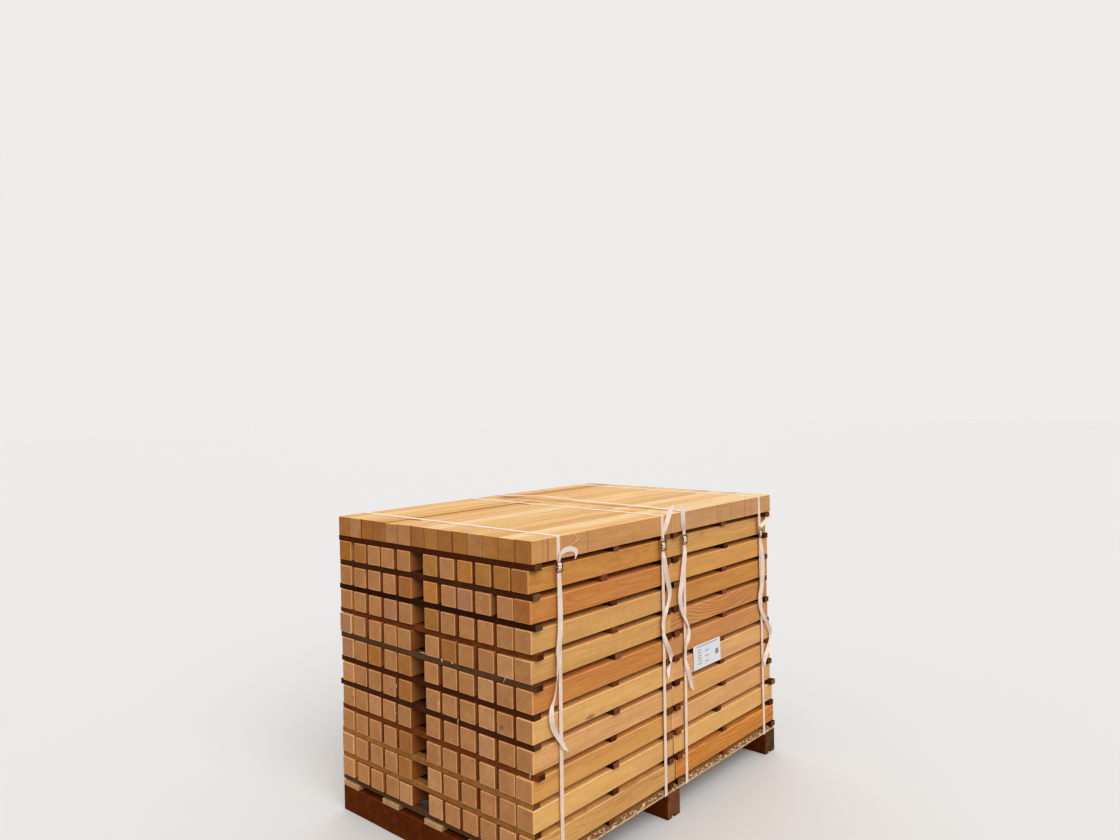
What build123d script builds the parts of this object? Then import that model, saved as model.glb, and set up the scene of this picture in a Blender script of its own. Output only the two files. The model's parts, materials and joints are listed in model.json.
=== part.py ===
"""Strapped stack of square sawn lumber on bearers.

Millimetres.  X runs across the stack, Y along it (the near end is -Y), Z is up.
The origin is at the middle of the stack's base, on the ground.
"""
from build123d import *
import math
import os

os.makedirs("parts", exist_ok=True)

# Beams
beam_width = 82.0
beam_height = 82.0
top_row_gap = 0.5
top_row_count = 14
lower_gap = 17.0
lower_row_inset = 10.5
left_group = 5
right_group = 6
layer_count = 11

# Each layer: end of the near block, gap at the joint, end of the far block
near_block_end = (857, 851, 845, 855, 854, 853, 855, 857, 857, 862, 865)
joint_gap = (2, 2, 3, 1, 1, 1, 2, 3, 4, 9, 9)
far_block_end = (1721, 1708, 1706, 1705, 1699, 1701, 1713, 1722, 1730, 1744, 1746)
end_unevenness = 0.6

# How far each beam of layers 2 to 11 lies off its even place, left to right
row_play = (
    (-2, 9, 7, 2, 5, -1, 1, 0, 1, 0, -8),
    (2, 8, 4, 9, 15, -4, 5, 0, 0, 13, 0),
    (-1, 1, 9, 10, 11, 2, 2, 4, 8, 11, -1),
    (-6, -10, 2, 9, 2, 0, 0, 0, 7, 8, -2),
    (2, 1, -2, 5, 0, -5, 1, -3, 4, 5, 1),
    (6, -5, -7, -4, -3, 0, -1, 3, 3, 1, 1),
    (3, -2, -10, -12, -8, 0, 3, 0, 4, 6, -2),
    (-7, -7, -8, -5, -7, -3, -5, -4, 1, 6, -6),
    (-10, -9, -6, -5, -11, -2, -6, 0, 7, 5, -5),
    (-13, -2, -3, -3, -12, 4, 4, 2, 1, 5, 1),
)

# Stickers, the thin spacers between two layers
sticker_width = 36.0
sticker_thickness = 23.0
near_sticker_start = (5, 6, 8, 15, 4, 7, 5, 9, 6, 8, 10)
mid_near_centre = (492, 417, 476, 472, 484, 478, 466, 459, 461, 463, 432)
joint_left_start = (808, 809, 808, 810, 808, 809, 808, 811, 808, 810, 809)
joint_right_start = (868, 870, 867, 868, 869, 868, 870, 868, 872, 876, 876)
mid_far_centre = (1289, 1313, 1300, 1295, 1296, 1279, 1284, 1283, 1234, 1282, 1275)
far_sticker_inset = 10.0

# How far the stickers of each level stand out past the top layer's sides
left_overhang = (7, 3, 13, 21, 5, 9, 17, 11, 13, 15, 19)
near_right_overhang = (11, 0, 7, 3, 8, -8, -8, 4, -20, -18, 21)
mid_near_overhang = (-12, -14, -14, -8, -6, -14, -2, -14, -6, -12, -10)
joint_overhang = (0, -1, 0, -2, 0, -1, -3, 0, -1, 0, -2)
mid_far_overhang = (-10, -12, -14, -12, -14, -12, -14, -14, -13, -12, -8)
far_overhang = (8, -2, -4, -5, 1, -5, -6, -2, 8, -5, 2)
left_overhang_step = 3

# Deck boards and bearers
deck_width = 105.0
deck_thickness = 22.0
deck_left_edge = (-5, 271, 541, 797)
deck_edge_past_rows = 1.0
wane_width = 8.0
wane_height = 12.0
bearer_width = 90.0
bearer_height = 108.0
bearer_start = (0, 806, 1656)
bearer_left = -5.0
bearer_past_rows = 4.0
groove_width = 20.0
groove_depth = 13.0
groove_centre = 40.0

# Straps
strap_width = 19.0
strap_thickness = 1.0
strap_clearance = 0.5
strap_bend = 1.5
left_slack = 1.2
left_round = 8.0
soft_bend = 40.0
strand_bend = 2.0
strap_top_y = (139.0, 785.0, 945.0, 1604.0)
strap_bottom_y = (143.0, 796.0, 954.0, 1645.6)
buckle_below_top = (108.0, 125.0, 120.0, 180.0)
slack_arch = ((400.0, 6.0), (60.0, 9.0), (-230.0, 17.0), (-480.0, 5.0))

# Wire buckles
wire = 4.0
buckle_height = 41.0
buckle_width = 36.0
buckle_corner = 5.0
bar_spacing = 7.6
bar_end_gap = 1.0
strand_gap = 0.35
exit_length = 6.0

# Label
label_start = 1014.0
label_length = 224.0
label_height = 107.0
label_below_top = 602.0
label_shear = 8.0
label_thickness = 0.4
label_gap = 4.0
label_layer_index = 7

# Sizes that follow from the ones above
stack_width = top_row_count * beam_width + (top_row_count - 1) * top_row_gap
half_width = stack_width / 2
row_end = stack_width - lower_row_inset
lower_pitch = beam_width + lower_gap
right_group_start = row_end - (right_group - 1) * lower_pitch - beam_width
deck_board_left = deck_left_edge + (row_end + deck_edge_past_rows - deck_width,)
bearer_right = row_end + bearer_past_rows
half_length = far_block_end[-1] / 2
layer_pitch = beam_height + sticker_thickness
deck_top = bearer_height + deck_thickness
stack_top = deck_top + layer_count * layer_pitch
strap_offset = strap_clearance + strap_thickness / 2


def keep(node, label):
    """Names one finished piece and writes its file."""
    node.part.label = label
    export_step(node.part, f"parts/{label}.step")


def block(left, right, start, end, floor, height):
    """A squared timber; left, right, start and end are read from the near left corner."""
    with Locations((left - half_width, start - half_length, floor)):
        Box(right - left, end - start, height, align=(Align.MIN, Align.MIN, Align.MIN))


def layer_floor(layer):
    return stack_top - beam_height - (layer - 1) * layer_pitch


def beam_lefts(layer):
    """Left edges of the beams in a layer."""
    if layer == 1:
        return [place * (beam_width + top_row_gap) for place in range(top_row_count)]
    even = [place * lower_pitch for place in range(left_group)]
    even += [right_group_start + place * lower_pitch for place in range(right_group)]
    return [left + play for left, play in zip(even, row_play[layer - 2])]


def beam_layer(layer):
    """The two blocks of beams of one layer, near and far, each its own piece set."""
    near_end = near_block_end[layer - 1]
    far_start = near_end + joint_gap[layer - 1]
    far_end = far_block_end[layer - 1]
    floor = layer_floor(layer)
    with BuildPart() as near:
        for place, left in enumerate(beam_lefts(layer)):
            play = end_unevenness * ((3 * layer + 5 * place) % 7)
            block(left, left + beam_width, play, near_end, floor, beam_height)
    keep(near, f"beams_layer_{layer:02d}_near")
    with BuildPart() as far:
        for place, left in enumerate(beam_lefts(layer)):
            play = end_unevenness * ((4 * layer + 3 * place) % 7) * (place > 0)
            block(left, left + beam_width, far_start, far_end - play, floor, beam_height)
    keep(far, f"beams_layer_{layer:02d}_far")


def sticker_level(level):
    """The six stickers under one layer."""
    row = level - 1
    floor = layer_floor(level) - sticker_thickness
    mid_far_start = mid_far_centre[row] - sticker_width / 2
    if level in (label_layer_index - 1, label_layer_index):
        mid_far_start = label_start + label_length + label_shear + label_gap
    far_start = far_block_end[min(level, layer_count - 1)] - far_sticker_inset - sticker_width
    mid_near_start = mid_near_centre[row] - sticker_width / 2
    places = (
        (near_sticker_start[row], near_right_overhang[row]),
        (mid_near_start, mid_near_overhang[row]),
        (joint_left_start[row], joint_overhang[row]),
        (joint_right_start[row], joint_overhang[row]),
        (mid_far_start, mid_far_overhang[row]),
        (far_start, far_overhang[row]),
    )
    with BuildPart() as stickers:
        for place, (start, right_out) in enumerate(places):
            left_out = left_overhang[(row + left_overhang_step * place) % layer_count]
            right = stack_width + right_out
            block(-left_out, right, start, start + sticker_width, floor, sticker_thickness)
    keep(stickers, f"stickers_level_{level:02d}")


def deck_board(number):
    """A deck board; the last one has a waney outer edge."""
    left = deck_board_left[number - 1] - half_width
    right = left + deck_width
    corners = [(left, bearer_height), (right, bearer_height), (right, deck_top), (left, deck_top)]
    if number == len(deck_board_left):
        corners[2:3] = [(right, deck_top - wane_height), (right - wane_width, deck_top)]
    with BuildPart() as board:
        with BuildSketch(Plane.XZ.offset(half_length)):
            with BuildLine():
                Polyline(*corners, close=True)
            make_face()
        extrude(amount=-2 * half_length)
    keep(board, f"deck_board_{number}")


def bearer(name, start):
    """A bearer across the stack with a sawn groove along its underside."""
    with BuildPart() as timber:
        block(bearer_left, bearer_right, start, start + bearer_width, 0, bearer_height)
        with Locations(((bearer_left + bearer_right) / 2 - half_width,
                        start + groove_centre - half_length, 0)):
            Box(
                bearer_right - bearer_left,
                groove_width,
                groove_depth,
                align=(Align.CENTER, Align.CENTER, Align.MIN),
                mode=Mode.SUBTRACT,
            )
    keep(timber, f"bearer_{name}")


def strap_lean(number):
    """How far strap `number` leans along the stack, in degrees."""
    run = strap_bottom_y[number] - strap_top_y[number]
    return math.degrees(math.atan2(run, stack_top - bearer_height))


def strap_plane(number):
    """The upright plane that a strap's loop lies in: its X is the stack's X, its Y runs up."""
    middle_y = (strap_bottom_y[number] + strap_top_y[number]) / 2 - half_length
    middle_z = (stack_top + bearer_height) / 2
    lean = math.radians(strap_lean(number))
    normal = (0, -math.cos(lean), -math.sin(lean))
    return Plane(origin=(0, middle_y, middle_z), x_dir=(1, 0, 0), z_dir=normal)


def on_strap(number, x, z):
    """A point of the strap's plane that stands at height z."""
    plane = strap_plane(number)
    return (x, (z - plane.origin.Z) / math.cos(math.radians(strap_lean(number))))


def side_face(z):
    """Where the strap's inner face runs on the long side at height z."""
    deck_edge = deck_board_left[-1] + deck_width - half_width
    share = min((z - bearer_height) / (layer_floor(1) - bearer_height), 1)
    return deck_edge + strap_clearance + (half_width - deck_edge) * share


def strap(number):
    """One strap: a loop round the stack, each end folded round a bar of the buckle."""
    middle = stack_top - buckle_below_top[number]
    face = side_face(middle)
    behind = face + strap_thickness / 2
    over = behind + strap_thickness + strand_gap
    rung = over + strap_thickness / 2 + strand_gap + wire / 2
    front = rung + wire / 2 + strand_gap + strap_thickness / 2
    bar = bar_spacing / 2
    turn = bar - wire / 2 - strand_gap - strap_thickness / 2
    rung_height = (buckle_height - wire) / 2
    fold = (front - behind) / 2 - 0.1
    exit_height = buckle_height / 2 + exit_length
    top = stack_top + strap_offset
    under = bearer_height - strap_offset
    right_edge = half_width + strap_offset
    deck_right = side_face(bearer_height) + strap_thickness / 2
    left_top = -half_width - strap_offset - left_slack
    left_out = row_play[-1][0] - half_width - strap_offset - left_slack / 2
    left_deck = deck_left_edge[0] - half_width - strap_offset
    last_floor = layer_floor(layer_count)
    arch = [(x, top + lift) for x, lift in reversed(slack_arch)] if number == 2 else []
    route = [
        (over, middle - exit_height),
        (over, middle - rung_height + wire),
        (front, middle - bar - wire / 2),
        (front, middle - turn),
        (behind, middle - turn),
        (behind, middle - exit_height - wire),
        (deck_right, under),
        (left_deck, under),
        (left_out, last_floor),
        (left_out, last_floor + beam_height + left_round),
        (left_top, top),
        *arch,
        (right_edge, top),
        (behind, middle + exit_height + wire),
        (behind, middle + turn),
        (front, middle + turn),
        (front, middle + bar + wire / 2),
        (over, middle + rung_height - wire),
        (over, middle + exit_height),
    ]
    radii = [strand_bend, strand_bend, fold, fold, soft_bend, strap_bend]
    radii += [strap_bend, soft_bend, soft_bend, strap_bend]
    radii += [soft_bend] * len(arch)
    radii += [strap_bend, soft_bend, fold, fold, strand_bend, strand_bend]
    plane = strap_plane(number)
    with BuildPart() as loop:
        with BuildLine(plane) as path:
            FilletPolyline(*[on_strap(number, x, z) for x, z in route], radius=radii)
        with BuildSketch(Plane(origin=path.line @ 0, x_dir=plane.z_dir, z_dir=path.line % 0)):
            Rectangle(strap_width, strap_thickness)
        sweep()
    keep(loop, f"strap_{number + 1}")
    lower = (path.line @ 0, -(path.line % 0))
    upper = (path.line @ 1, path.line % 1)
    return lower, upper, rung


def buckle(number, rung):
    """A bent wire buckle: one wire makes the frame and its two ends lie across the middle."""
    middle = stack_top - buckle_below_top[number]
    plane = strap_plane(number)
    centre = plane.from_local_coords(on_strap(number, rung, middle) + (0,))
    side = (buckle_width - wire) / 2
    rail = (buckle_height - wire) / 2
    bar = bar_spacing / 2
    free_end = side - wire / 2 - bar_end_gap
    corner = min(buckle_corner, rail - bar - 1)
    wire_plane = Plane(origin=centre, x_dir=-plane.z_dir, z_dir=(1, 0, 0))
    with BuildPart() as clasp:
        with BuildLine(wire_plane) as path:
            FilletPolyline(
                (free_end, bar),
                (-side, bar),
                (-side, rail),
                (side, rail),
                (side, -rail),
                (-side, -rail),
                (-side, -bar),
                (free_end, -bar),
                radius=corner,
            )
        with BuildSketch(Plane(origin=path.line @ 0, z_dir=path.line % 0)):
            Circle(wire / 2)
        sweep()
    keep(clasp, f"buckle_{number + 1}")


# Loose strap ends past the buckle: length of the first straight run, then the points of
# the route as (distance along the stack, height over its top)
ends_up = (
    (14, (149, -52), (172, -44), (201, -44), (226, -53), (244, -69), (248, -91)),
    (22.5, (800, -44), (824, -10), (848, 22), (864, 40)),
    (44, (943, -3), (946, 42)),
    (11, (1615, -130), (1632, -121), (1664, -120), (1703, -116), (1741, -109)),
)
ends_down = (
    (96, (135, -340), (123, -446), (116, -550), (96, -630), (101, -672), (136, -734),
     (184, -785)),
    (26, (802, -213), (828, -262), (842, -316), (838, -369), (814, -416), (790, -460),
     (788, -507), (808, -551), (834, -595), (840, -643), (822, -681)),
    (69, (932, -288), (914, -350), (912, -403), (937, -450), (976, -497), (984, -545),
     (967, -594), (970, -645), (987, -712), (1010, -776)),
    (56, (1629, -335), (1628, -408), (1618, -478), (1631, -545), (1665, -596), (1699, -640),
     (1719, -692), (1711, -741), (1676, -783), (1642, -818)),
)


def loose_end(label, leaving, route):
    """A loose strap end: a flat band along straight runs joined by tangent arcs."""
    start, direction = leaving
    points = [start, start + direction * route[0]]
    points += [Vector(start.X, y - half_length, stack_top + z) for y, z in route[1:]]
    runs = [after - before for before, after in zip(points, points[1:])]
    turns = [before.get_angle(after) for before, after in zip(runs, runs[1:])]
    radii = [
        0.45 * min(before.length, after.length) / math.tan(math.radians(turn) / 2)
        for before, after, turn in zip(runs, runs[1:], turns)
    ]
    with BuildPart() as band:
        with BuildLine() as path:
            FilletPolyline(*points, radius=radii)
        with BuildSketch(Plane(origin=path.line @ 0, x_dir=(1, 0, 0), z_dir=path.line % 0)):
            Rectangle(strap_thickness, strap_width)
        sweep()
    keep(band, label)
    section = strap_width * strap_thickness
    length = path.wire().length
    share = band.part.volume / (section * length)
    print(label, "length", round(length), "volume share", round(share, 4))
    print("  runs", [round(run.length) for run in runs])
    print("  turns", [round(turn) for turn in turns])
    print("  radii", [round(radius) for radius in radii])


def label_sheet():
    """A thin card stapled to the side of a far beam; its lower edge has slipped sideways."""
    face = beam_lefts(label_layer_index)[-1] + beam_width - half_width
    low = stack_top - label_below_top - label_height
    start = label_start - half_length
    with BuildPart() as sheet:
        with BuildSketch(Plane.YZ.offset(face)):
            with BuildLine():
                Polyline(
                    (start, low + label_height),
                    (start + label_length, low + label_height),
                    (start + label_length + label_shear, low),
                    (start + label_shear, low),
                    close=True,
                )
            make_face()
        extrude(amount=label_thickness)
    keep(sheet, "label_sheet")


for layer_number in range(1, layer_count + 1):
    beam_layer(layer_number)
    sticker_level(layer_number)
for board_number in range(1, len(deck_board_left) + 1):
    deck_board(board_number)
for bearer_name, bearer_y in zip(("near", "middle", "far"), bearer_start):
    bearer(bearer_name, bearer_y)
for strap_number in range(4):
    lower_end, upper_end, rung_x = strap(strap_number)
    buckle(strap_number, rung_x)
    loose_end(f"strap_end_up_{strap_number + 1}", upper_end, ends_up[strap_number])
    loose_end(f"strap_end_down_{strap_number + 1}", lower_end, ends_down[strap_number])
label_sheet()
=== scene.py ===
import bpy
import bmesh
import json
import math
import random
from mathutils import Vector, Matrix

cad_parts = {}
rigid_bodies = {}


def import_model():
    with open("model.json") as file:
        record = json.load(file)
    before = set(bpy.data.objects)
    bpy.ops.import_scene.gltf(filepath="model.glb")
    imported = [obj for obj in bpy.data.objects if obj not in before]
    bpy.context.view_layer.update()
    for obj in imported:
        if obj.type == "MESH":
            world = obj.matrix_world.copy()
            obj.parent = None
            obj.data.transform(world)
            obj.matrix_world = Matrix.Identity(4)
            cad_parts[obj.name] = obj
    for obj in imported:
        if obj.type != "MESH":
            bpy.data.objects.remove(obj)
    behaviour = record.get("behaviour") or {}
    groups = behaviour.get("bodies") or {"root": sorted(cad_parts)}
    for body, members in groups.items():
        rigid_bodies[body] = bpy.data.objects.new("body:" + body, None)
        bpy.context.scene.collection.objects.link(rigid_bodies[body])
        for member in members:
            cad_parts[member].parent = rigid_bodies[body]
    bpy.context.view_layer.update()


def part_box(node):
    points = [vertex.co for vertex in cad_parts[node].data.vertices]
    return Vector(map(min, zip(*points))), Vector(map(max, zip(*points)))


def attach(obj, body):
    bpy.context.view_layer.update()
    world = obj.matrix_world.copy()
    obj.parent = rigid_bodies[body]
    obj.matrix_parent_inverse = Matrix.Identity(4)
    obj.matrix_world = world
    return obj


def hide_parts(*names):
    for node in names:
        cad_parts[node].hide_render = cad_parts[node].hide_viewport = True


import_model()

# Beams
# Softwood sawn 82 mm square, rough from the saw and air dried, in two blocks end to end.
# Each layer lies loose on its stickers, and every beam has its own tone.

LAYERS = 11
TOP_COUNT = 14
LOWER_COUNT = 11
BEAM_SIZE = (0.082, 0.857, 0.082)
BEAM_CUTS = (2, 10)
BEAM_UNEVENNESS = 0.0011
BEAM_ARRIS = 0.0027
TOUCHING_ARRIS = 0.0018
WOOD_TONES = {
    "straw": "#E6B16D",
    "honey": "#DB9F5A",
    "peach": "#E2A96F",
    "biscuit": "#DFA465",
    "wheat": "#D8A261",
    "tan": "#CF975F",
    "ash_tan": "#D09B69",
    "copper": "#D29158",
    "amber": "#CE8E4A",
    "marmalade": "#D88F45",
    "russet": "#CF8849",
}
# The top layer has lain in the open and is paler
TOP_TONES = {
    "bleached": "#F0CA96",
    "cream": "#ECBF84",
    "pale_straw": "#E5B678",
    "pale_honey": "#DFB071",
    "pale_amber": "#DAA664",
    "warm_amber": "#C98F53",
}
# Faces turned to the inside of the stack, seen only through the narrow gaps between beams, are
# painted darker brown as shade
INNER_SHADE_TONES = ("#9C6232", "#94572A", "#A5693A", "#8A4E24")
# Tones of the sawn ends, one letter each
END_TONES = {
    "o": "#B6783C",
    "y": "#C98543",
    "u": "#B46F30",
    "b": "#AF703B",
    "t": "#C08653",
    "m": "#BB8041",
    "r": "#C68957",
    "g": "#BE855E",
    "p": "#D09663",
}
# Near ends from left to right, from the top layer down
NEAR_ENDS = (
    "orubtrbmbotmob", "uorrtmrymob", "ttrrbyrgtrb", "trrgtotrrtt", "grrrtrbttpt",
    "gtotorrtptr", "ptttorrtptr", "ttprtrtrptt", "rrrrbtrrprr", "prrroprtrrt",
    "prrtpprrtpt",
)
# Tone of the outer beam on the long side, near block and far block, from the top layer down,
# and how strongly the grain shows on it
SIDE_LOOK = (
    (("tan", 0.3), ("ash_tan", 0.5)),
    (("amber", 0.4), ("wheat", 0.8)),
    (("russet", 0.9), ("honey", 0.3)),
    (("wheat", 0.3), ("amber", 0.5)),
    (("wheat", 0.3), ("copper", 2.6)),
    (("russet", 0.6), ("copper", 0.6)),
    (("straw", 0.2), ("peach", 0.3)),
    (("peach", 0.8), ("biscuit", 0.4)),
    (("honey", 0.4), ("peach", 0.4)),
    (("straw", 0.3), ("straw", 0.2)),
    (("wheat", 1.3), ("marmalade", 3.0)),
)
# Upper faces of the top layer from left to right, near block and far block
TOP_FACES = (
    ("pale_honey", "cream", "pale_straw", "pale_amber", "pale_amber", "pale_straw",
     "pale_straw", "bleached", "pale_straw", "pale_honey", "pale_straw", "pale_amber",
     "bleached", "pale_straw"),
    ("pale_straw", "warm_amber", "pale_honey", "pale_straw", "pale_straw", "pale_honey",
     "cream", "cream", "pale_straw", "pale_honey", "bleached", "pale_straw", "bleached",
     "bleached"),
)
# How far the top of each beam in the top layer lies under the highest ones, in millimetres
TOP_STEPS = (
    (0.2, 0.0, 0.4, 0.2, 3.2, 0.0, 0.7, 0.2, 0.5, 0.1, 0.4, 0.2, 0.5, 0.0),
    (0.0, 1.2, 0.2, 0.3, 0.0, 0.6, 0.2, 0.0, 0.4, 0.1, 0.4, 0.1, 0.3, 0.0),
)
# In the lower layers they differ in height by up to this much, in metres
MOST_STEP = 0.0015


def linear(code):
    """An sRGB hex colour as a linear RGBA value."""
    parts = [int(code[place:place + 2], 16) / 255 for place in (1, 3, 5)]
    return [c / 12.92 if c < 0.04045 else ((c + 0.055) / 1.055) ** 2.4 for c in parts] + [1.0]


def feed(node, inputs):
    """Sets a node's inputs to values, or links them to sockets, by name or number."""
    for name, value in inputs.items():
        if isinstance(value, bpy.types.NodeSocket):
            node.id_data.links.new(value, node.inputs[name])
        else:
            node.inputs[name].default_value = value


def add(tree, kind, inputs=(), out=0, **settings):
    """Adds a node and gives its output `out`; a plain kind is a shader node's.

    inputs are as for feed, or values in a row from the first socket on.
    """
    node = tree.nodes.new(kind if "Node" in kind else "ShaderNode" + kind)
    for name, value in settings.items():
        setattr(node, name, value)
    feed(node, inputs if isinstance(inputs, dict) else dict(enumerate(inputs)))
    return node.outputs[out] if node.outputs else None


# What a Mix node takes and gives when it mixes colours: its sockets 6 and 7
COLOUR = {"out": 2, "data_type": "RGBA"}


def new_material(name):
    """A new material, its node tree and its shader."""
    made = bpy.data.materials.new(name)
    made.use_nodes = True
    return made, made.node_tree, made.node_tree.nodes["Principled BSDF"]


def put(name, data):
    """A new object in the scene, at the origin."""
    thing = bpy.data.objects.new(name, data)
    bpy.context.collection.objects.link(thing)
    return thing


def made_plain(maker):
    """The plain mesh that an object's modifiers or its curve give; the object goes."""
    graph = bpy.context.evaluated_depsgraph_get()
    mesh = bpy.data.meshes.new_from_object(maker.evaluated_get(graph))
    bpy.data.objects.remove(maker)
    return mesh


def dress(name, mesh, cad_node):
    """Sets a finished mesh in the place of its CAD node."""
    piece = put(name, mesh)
    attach(piece, "root")
    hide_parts(cad_node)
    return piece


def timbers_of(node_name):
    """The boxes (low corner, high corner) of the separate timbers in a CAD node."""
    mesh = bpy.data.objects[node_name].data
    spots = {}
    owner = list(range(len(mesh.vertices)))
    for vertex in mesh.vertices:
        key = tuple(round(c * 1e5) for c in vertex.co)
        owner[vertex.index] = spots.setdefault(key, vertex.index)
    parent = list(range(len(mesh.vertices)))

    def root_of(index):
        while parent[index] != index:
            parent[index] = parent[parent[index]]
            index = parent[index]
        return index

    for face in mesh.polygons:
        first = root_of(owner[face.vertices[0]])
        for other in face.vertices[1:]:
            parent[root_of(owner[other])] = first
    groups = {}
    for vertex in mesh.vertices:
        groups.setdefault(root_of(owner[vertex.index]), []).append(vertex.co)
    boxes = []
    for corners in groups.values():
        low = Vector([min(c[axis] for c in corners) for axis in range(3)])
        high = Vector([max(c[axis] for c in corners) for axis in range(3)])
        boxes.append((low, high))
    return sorted(boxes, key=lambda box: (round(box[0].y, 2), box[0].x))


def timber_tree():
    """Node tree that sets one sawn timber on each point and makes its faces a little uneven."""
    tree = bpy.data.node_groups.new("sawn_timbers", "GeometryNodeTree")
    for name, kind in (("Geometry", "Geometry"), ("Timber size", "Vector"),
                       ("Cuts along X", "Int"), ("Cuts along Y", "Int"),
                       ("Unevenness", "Float"), ("Wave length", "Float"),
                       ("Finish", "Material")):
        tree.interface.new_socket(name, in_out="INPUT", socket_type="NodeSocket" + kind)
    tree.interface.new_socket("Geometry", in_out="OUTPUT", socket_type="NodeSocketGeometry")
    given = tree.nodes.new("NodeGroupInput").outputs
    block = add(tree, "GeometryNodeMeshCube", {
        "Size": given["Timber size"], "Vertices X": given["Cuts along X"],
        "Vertices Y": given["Cuts along Y"], "Vertices Z": 2,
    })
    place = add(tree, "GeometryNodeInputPosition")
    marked = add(tree, "GeometryNodeStoreNamedAttribute", {
        "Geometry": block, "Name": "in_timber", "Value": place,
    }, data_type="FLOAT_VECTOR", domain="POINT")
    share = add(tree, "GeometryNodeInputNamedAttribute", {"Name": "share"},
                data_type="FLOAT_VECTOR")
    laid = add(tree, "GeometryNodeInstanceOnPoints", {
        "Points": given["Geometry"], "Instance": marked, "Scale": share,
    })
    real = add(tree, "GeometryNodeRealizeInstances", {"Geometry": laid})
    pitch = add(tree, "Math", (1.0, given["Wave length"]), operation="DIVIDE")
    ripple = add(tree, "TexNoise", {"Vector": place, "Scale": pitch, "Detail": 2.0}, "Color")
    centred = add(tree, "VectorMath", (ripple, (0.5, 0.5, 0.5)), operation="SUBTRACT")
    shift = add(tree, "VectorMath", {0: centred, "Scale": given["Unevenness"]},
                operation="SCALE")
    uneven = add(tree, "GeometryNodeSetPosition", {"Geometry": real, "Offset": shift})
    dressed = add(tree, "GeometryNodeSetMaterial", {
        "Geometry": uneven, "Material": given["Finish"],
    })
    add(tree, "NodeGroupOutput", {"Geometry": dressed})
    return tree


timbers = timber_tree()
TIMBER_WAVES = 0.11  # metres from one rise of a sawn face to the next


def mark_points(mesh, vector_mark):
    """Adds the marks that a wood material reads to a mesh's points, and gives their values."""
    marks = {vector_mark: "FLOAT_VECTOR", "seed": "FLOAT", "side_tone": "FLOAT_COLOR",
             "end_tone": "FLOAT_COLOR", "upper_tone": "FLOAT_COLOR", "figure": "FLOAT"}
    for mark, kind in marks.items():
        mesh.attributes.new(mark, kind, "POINT")
    return [mesh.attributes[mark].data for mark in marks]


# How deep the painted shade in the joints between touching timbers is, at their ends and along
# the top
END_JOINT_SHADE, TOP_JOINT_SHADE = -1.0, -0.25
OUTER_SIDES = 0.006  # this near the outer sides of a layer there is no joint


def mark_arrises(mesh, touching=False):
    """Marks the narrow faces along a timber's edges: 1 where torn fibres look paler, and
    below 0 in the joints between timbers that touch, painted dark as shade, deepest at their
    ends."""
    mesh.attributes.new("arris", "FLOAT", "FACE")
    arris = mesh.attributes["arris"]
    reach = max(abs(corner.co.x) for corner in mesh.vertices) - OUTER_SIDES
    for face in mesh.polygons:
        joint_shade = touching and abs(face.normal.x) > 0.3 and abs(face.center.x) < reach
        if max(abs(c) for c in face.normal) < 0.97:
            depth = END_JOINT_SHADE if abs(face.normal.y) > 0.3 else TOP_JOINT_SHADE
            arris.data[face.index].value = depth if joint_shade else 1.0


def ease_arrises(maker, width, least_angle):
    """Takes the sharp edge off the corners that turn by more than least_angle degrees."""
    edge = maker.modifiers.new("arris", "BEVEL")
    edge.width = width
    edge.segments = 2
    edge.limit_method = "ANGLE"
    edge.angle_limit = math.radians(least_angle)


def lay_timbers(name, cad_node, size, cuts, arris, unevenness, finish, looks, steps,
                touching=False):
    """One piece of separate timbers, standing where the CAD node's timbers stand.

    looks are each timber's side, end and upper tones and how strongly its grain shows;
    steps are how much lower than its CAD timber each one is at the top, in metres.
    """
    boxes = [(low, high - Vector((0, 0, step)))
             for (low, high), step in zip(timbers_of(cad_node), steps)]
    points = bpy.data.meshes.new(name)
    points.from_pydata([(low + high) / 2 for low, high in boxes], [], [])
    share, seed, side, end, upper, figure = mark_points(points, "share")
    chance = random.Random(name)
    for place, (low, high) in enumerate(boxes):
        share[place].vector = [(high[i] - low[i]) / size[i] for i in range(3)]
        seed[place].value = chance.random()
        for tones, tone in zip((side, end, upper), looks[place]):
            tones[place].color = linear(tone)
        figure[place].value = looks[place][3]
    maker = put(name + "_layout", points)
    build = maker.modifiers.new("timbers", "NODES")
    build.node_group = timbers
    values = {
        "Timber size": size, "Cuts along X": cuts[0], "Cuts along Y": cuts[1],
        "Unevenness": unevenness, "Wave length": TIMBER_WAVES, "Finish": finish,
    }
    for item in timbers.interface.items_tree:
        if item.in_out == "INPUT" and item.name in values:
            build[item.identifier] = values[item.name]
    ease_arrises(maker, arris, 40)
    mesh = made_plain(maker)
    mesh.name = name
    mark_arrises(mesh, touching)
    return dress(name, mesh, cad_node)


WAVE_PITCH = 0.314  # metres from ring to ring of Blender's wave pattern at a scale of 1
SAW_PITCH = 0.008
# The pith lies within this reach of the timber's middle, and may lie outside the timber
PITH_REACH = Vector((0.13, 0.0, 0.12))
# Dark drying lines: their half width, and the length of timber that they are placed on
MARK_WIDTH = 0.006
MARK_SPAN = 0.9
# Where the pale fringe of a sawn end starts and where it is full, in from the timber's side
FRINGE_START, FRINGE_FULL = 0.0048, 0.0034


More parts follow.
